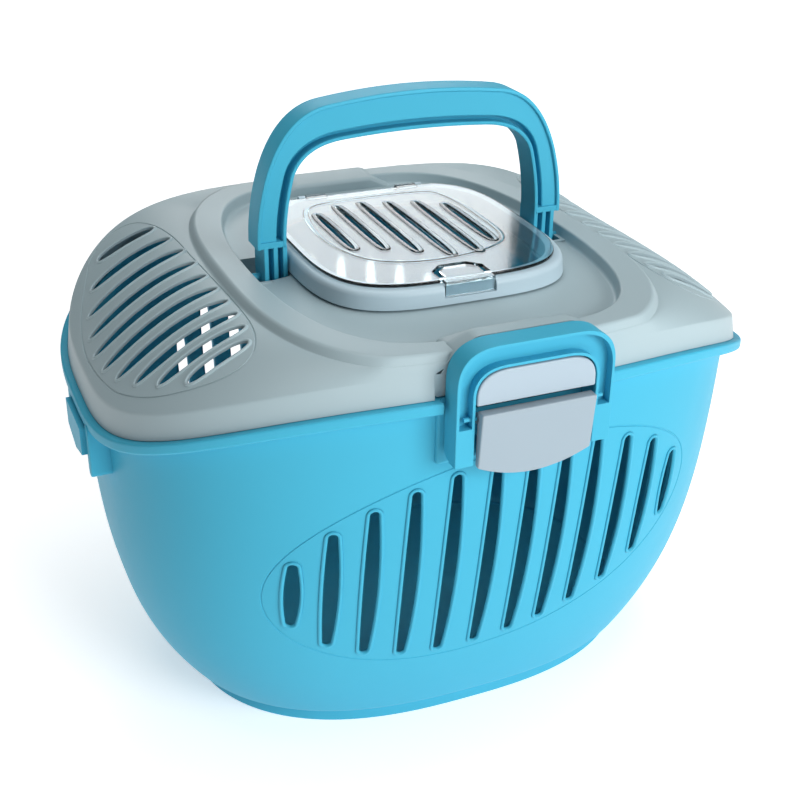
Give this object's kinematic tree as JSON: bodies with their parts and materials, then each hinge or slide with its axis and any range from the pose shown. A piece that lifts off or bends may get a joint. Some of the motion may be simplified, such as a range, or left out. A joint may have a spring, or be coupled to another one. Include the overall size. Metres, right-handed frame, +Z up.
{
  "type": "small animal carrier",
  "caption": "Oval plastic pet carrier with a slotted blue tub, a gray vented lid, a clear top hatch, a folding carrying handle and a clasp at the front and back",
  "frame": {"origin": "on the ground under the middle of the tub", "axes": "+X along the carrier to its right end, +Y to its back, +Z up; the clasp at the front faces -Y"},
  "size_m": [0.3752, 0.3068, 0.3257],
  "materials": {
    "blue": "satin moulded polypropylene",
    "gray": "satin moulded polypropylene",
    "clear": "clear polished plastic sheet",
    "steel": "plain drawn wire"
  },
  "bodies": {
    "base": {"base_tub": "blue", "end_clip_left": "gray", "end_clip_right": "gray"},
    "lid": {"lid_shell": "gray", "hatch_frame": "gray", "handle_pin_left": "steel", "handle_pin_right": "steel", "hatch_pin_left": "steel", "hatch_pin_right": "steel"},
    "handle": {"handle": "blue"},
    "hatch": {"hatch_door": "clear"},
    "front_bail": {"front_bail": "blue", "front_insert": "gray", "front_bail_pin_left": "steel", "front_bail_pin_right": "steel", "front_lever_pin_left": "steel", "front_lever_pin_right": "steel"},
    "front_lever": {"front_lever": "gray"},
    "rear_bail": {"rear_bail": "blue", "rear_insert": "gray", "rear_bail_pin_left": "steel", "rear_bail_pin_right": "steel", "rear_lever_pin_left": "steel", "rear_lever_pin_right": "steel"},
    "rear_lever": {"rear_lever": "gray"}
  },
  "joints": [
    {"name": "lid_lift", "type": "slide", "parent": "base", "child": "lid", "axis": [0, 0, 1], "range_m": [0, 0.06]},
    {"name": "handle_fold", "type": "hinge", "parent": "lid", "child": "handle", "pos_m": [0, 0, 0.2334], "axis": [-1, 0, 0], "range_deg": [0, 60]},
    {"name": "hatch_hinge", "type": "hinge", "parent": "lid", "child": "hatch", "pos_m": [0, 0.0716, 0.2466], "axis": [-1, 0, 0], "range_deg": [0, 22]},
    {"name": "front_bail_swing", "type": "hinge", "parent": "base", "child": "front_bail", "pos_m": [0, -0.142, 0.1945], "axis": [1, 0, 0], "range_deg": [0, 38]},
    {"name": "rear_bail_swing", "type": "hinge", "parent": "base", "child": "rear_bail", "pos_m": [0, 0.142, 0.1945], "axis": [-1, 0, 0], "range_deg": [0, 38]},
    {"name": "front_lever_swing", "type": "hinge", "parent": "front_bail", "child": "front_lever", "pos_m": [0, -0.1466, 0.2115], "axis": [-1, 0, 0], "range_deg": [0, 28]},
    {"name": "rear_lever_swing", "type": "hinge", "parent": "rear_bail", "child": "rear_lever", "pos_m": [0, 0.1466, 0.2115], "axis": [1, 0, 0], "range_deg": [0, 28]}
  ],
  "couplings": [
    {"joint": "front_bail_swing", "follows": "lid_lift", "rad_per_m": 11.05},
    {"joint": "rear_bail_swing", "follows": "lid_lift", "rad_per_m": 11.05}
  ]
}
